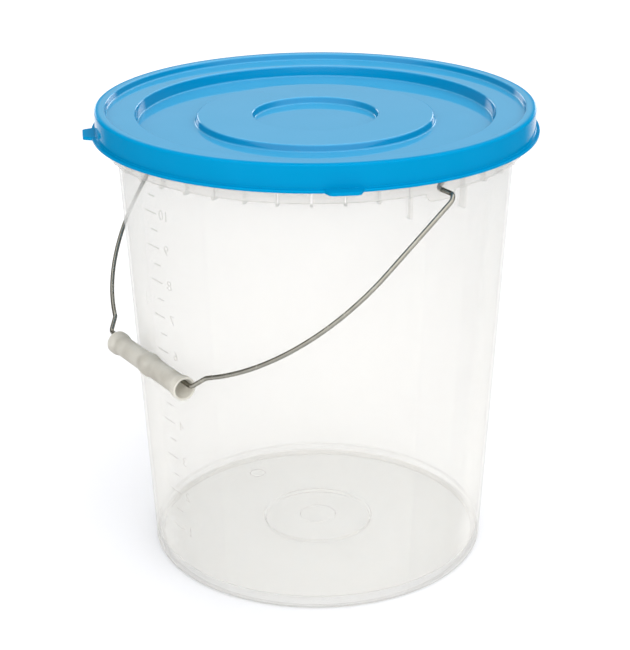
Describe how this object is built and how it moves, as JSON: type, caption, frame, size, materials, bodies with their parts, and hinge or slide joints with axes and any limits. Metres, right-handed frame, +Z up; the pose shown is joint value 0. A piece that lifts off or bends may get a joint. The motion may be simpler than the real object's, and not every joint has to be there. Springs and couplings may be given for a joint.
{
  "type": "lidded plastic bucket",
  "caption": "Tapered translucent plastic bucket with a litre scale, a press-on lid with a stacking recess, and a wire bail with a turning hollow grip that swings over the lid.",
  "frame": {"origin": "middle of the base, on the ground", "axes": "+Z up, +X along the bail's pivot axis through the ears; the bail hangs on the -Y side at rest"},
  "size_m": [0.2884, 0.278, 0.2974],
  "materials": {
    "natural_plastic": "translucent natural polypropylene, satin",
    "blue_plastic": "glossy moulded sky blue",
    "steel_wire": "drawn galvanised wire",
    "pale_plastic": "pale grey-beige, slightly mottled"
  },
  "bodies": {
    "tub": {"tub": "natural_plastic"},
    "lid": {"lid": "blue_plastic"},
    "bail": {"bail": "steel_wire"},
    "grip": {"grip": "pale_plastic"}
  },
  "joints": [
    {"name": "lid_lift", "type": "slide", "parent": "tub", "child": "lid", "axis": [0, 0, 1], "range_m": [0, 0.3]},
    {"name": "bail_swing", "type": "hinge", "parent": "tub", "child": "bail", "pos_m": [0, 0, 0.2739], "axis": [-1, 0, 0], "range_deg": [0, 268.7]},
    {"name": "grip_spin", "type": "hinge", "parent": "bail", "child": "grip", "pos_m": [0.0048, -0.12528, 0.15138], "axis": [1, 0, 0], "continuous": true}
  ]
}
